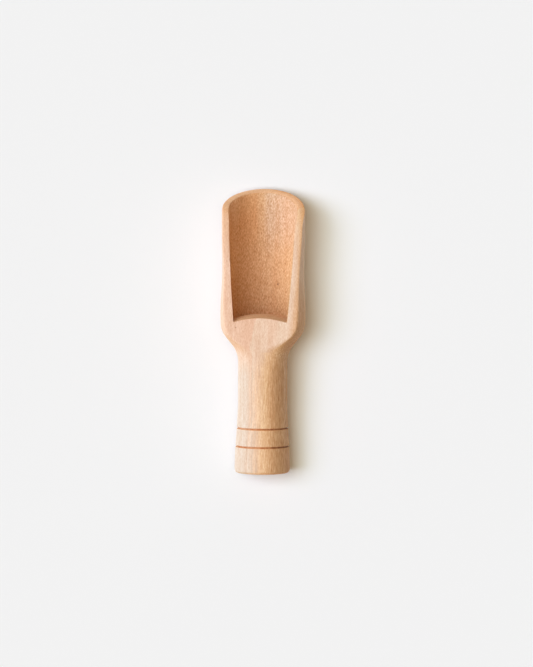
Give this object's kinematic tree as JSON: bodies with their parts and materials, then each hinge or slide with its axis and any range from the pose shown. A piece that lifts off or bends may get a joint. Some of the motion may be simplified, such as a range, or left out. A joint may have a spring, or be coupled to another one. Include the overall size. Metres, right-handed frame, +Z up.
{
  "type": "canister scoop",
  "caption": "Small one-piece turned beech scoop: round handle with burnt rings, flared butt, and a bored bowl cut open along the top with a raked lip.",
  "frame": {"origin": "middle of the footprint, on the table the scoop lies on", "axes": "+Y along the scoop towards the lip of the bowl, +Z up out of the bowl's opening, +X to the right seen from above with the bowl ahead"},
  "size_m": [0.0236, 0.0814, 0.0182],
  "materials": {
    "beech": "bare sanded beech, fine straight grain along the axis, burnt brown in the ring grooves"
  },
  "bodies": {
    "root": {"scoop": "beech"}
  },
  "joints": []
}
